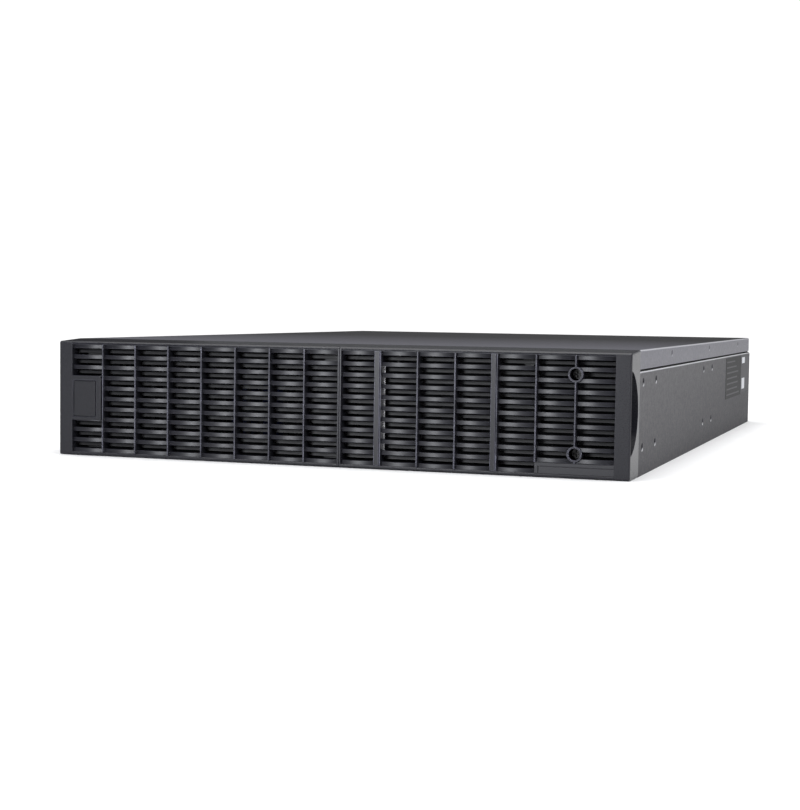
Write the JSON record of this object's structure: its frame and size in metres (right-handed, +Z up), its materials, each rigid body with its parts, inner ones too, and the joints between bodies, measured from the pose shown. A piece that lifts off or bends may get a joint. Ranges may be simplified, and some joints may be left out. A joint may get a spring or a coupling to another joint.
{
  "type": "uninterruptible power supply",
  "caption": "Two-unit rack power backup case with a louvred split bezel, a pull-out battery tray behind it, and rear fans, outlets, inlet and switches.",
  "frame": {"origin": "middle of the underside", "axes": "+X to the right across the front, +Y from the front to the back, +Z up"},
  "size_m": [0.438, 0.65, 0.088],
  "materials": {
    "bezel_plastic": "satin",
    "badge_plastic": "satin",
    "case_paint": "satin",
    "black_coat": "matte",
    "zinc_steel": "satin",
    "black_screw": "satin",
    "plated_screw": "satin",
    "black_plastic": "matte",
    "grey_plastic": "matte",
    "white_plastic": "satin",
    "bright_wire": "polished",
    "brass_contact": "satin",
    "battery_case": "satin",
    "label_film": "satin",
    "circuit_board": "satin",
    "aluminium": "satin",
    "capacitor_sleeve": "gloss",
    "copper_winding": "satin",
    "ferrite": "matte"
  },
  "bodies": {
    "chassis": {"ac_inlet": "black_plastic", "ac_inlet_pins": "brass_contact", "base_pan": "case_paint", "battery_port": "grey_plastic", "bay_connector": "black_plastic", "bay_divider": "zinc_steel", "bay_end_wall": "zinc_steel", "breaker_body": "black_plastic", "capacitors": "capacitor_sleeve", "chokes": "copper_winding", "control_board": "circuit_board", "cover_screws": "black_screw", "cross_rail": "black_coat", "fan_frame_left": "black_plastic", "fan_frame_right": "black_plastic", "fan_guards": "bright_wire", "front_inner_panel": "black_coat", "guide_rails": "zinc_steel", "heat_sinks": "aluminium", "high_current_outlet": "black_plastic", "main_board": "circuit_board", "option_cover": "case_paint", "outlets": "black_plastic", "rear_panel": "case_paint", "rear_screws": "zinc_steel", "serial_port": "bright_wire", "side_labels": "label_film", "side_panel_left": "case_paint", "side_panel_right": "case_paint", "switch_body": "black_plastic", "top_cover": "case_paint", "transformer_cores": "ferrite", "transformer_windings": "copper_winding", "usb_port": "black_plastic"},
    "battery_tray": {"battery_tray": "black_coat", "tray_handle": "black_plastic", "battery_1": "battery_case", "battery_2": "battery_case", "battery_3": "battery_case", "battery_4": "battery_case", "battery_5": "battery_case", "battery_6": "battery_case", "battery_links": "brass_contact", "tray_connector": "black_plastic"},
    "right_bezel": {"right_bezel_frame": "bezel_plastic", "right_bezel_louvres": "bezel_plastic", "bezel_stiffener": "plated_screw", "label_plate": "badge_plastic"},
    "left_bezel": {"left_bezel_frame": "bezel_plastic", "left_bezel_louvres": "bezel_plastic", "badge_plate": "badge_plastic", "bezel_clips": "black_plastic"},
    "bezel_screw_upper": {"bezel_screw_upper": "black_screw"},
    "bezel_screw_lower": {"bezel_screw_lower": "black_screw"},
    "tray_screw_left": {"tray_screw_left": "plated_screw"},
    "tray_screw_right": {"tray_screw_right": "plated_screw"},
    "fan_left": {"fan_rotor_left": "black_plastic"},
    "fan_right": {"fan_rotor_right": "black_plastic"},
    "power_switch": {"switch_rocker": "black_plastic"},
    "breaker_reset": {"breaker_button": "white_plastic"}
  },
  "joints": [
    {"name": "battery_tray_slide", "type": "slide", "parent": "chassis", "child": "battery_tray", "axis": [0, -1, 0], "range_m": [0, 0.44]},
    {"name": "right_bezel_pull", "type": "slide", "parent": "battery_tray", "child": "right_bezel", "axis": [0, -1, 0], "range_m": [0, 0.06]},
    {"name": "left_bezel_pull", "type": "slide", "parent": "chassis", "child": "left_bezel", "axis": [0, -1, 0], "range_m": [0, 0.06]},
    {"name": "bezel_screw_upper_turn", "type": "hinge", "parent": "right_bezel", "child": "bezel_screw_upper", "pos_m": [0.1805, -0.305, 0.0712], "axis": [0, 1, 0], "continuous": true},
    {"name": "bezel_screw_lower_turn", "type": "hinge", "parent": "right_bezel", "child": "bezel_screw_lower", "pos_m": [0.1805, -0.305, 0.0168], "axis": [0, 1, 0], "continuous": true},
    {"name": "tray_screw_left_turn", "type": "hinge", "parent": "battery_tray", "child": "tray_screw_left", "pos_m": [0.043, -0.295, 0.079], "axis": [0, 1, 0], "continuous": true},
    {"name": "tray_screw_right_turn", "type": "hinge", "parent": "battery_tray", "child": "tray_screw_right", "pos_m": [0.143, -0.295, 0.079], "axis": [0, 1, 0], "continuous": true},
    {"name": "fan_left_spin", "type": "hinge", "parent": "chassis", "child": "fan_left", "pos_m": [-0.165, 0.297, 0.0442], "axis": [0, 1, 0], "continuous": true},
    {"name": "fan_right_spin", "type": "hinge", "parent": "chassis", "child": "fan_right", "pos_m": [-0.079, 0.297, 0.0442], "axis": [0, 1, 0], "continuous": true},
    {"name": "power_switch_tilt", "type": "hinge", "parent": "chassis", "child": "power_switch", "pos_m": [0.1865, 0.308, 0.064], "axis": [1, 0, 0], "range_deg": [0, 20]},
    {"name": "breaker_reset_press", "type": "slide", "parent": "chassis", "child": "breaker_reset", "axis": [0, -1, 0], "range_m": [0, 0.004], "stiffness_N_per_m": 300, "springref_m": -0.002}
  ]
}
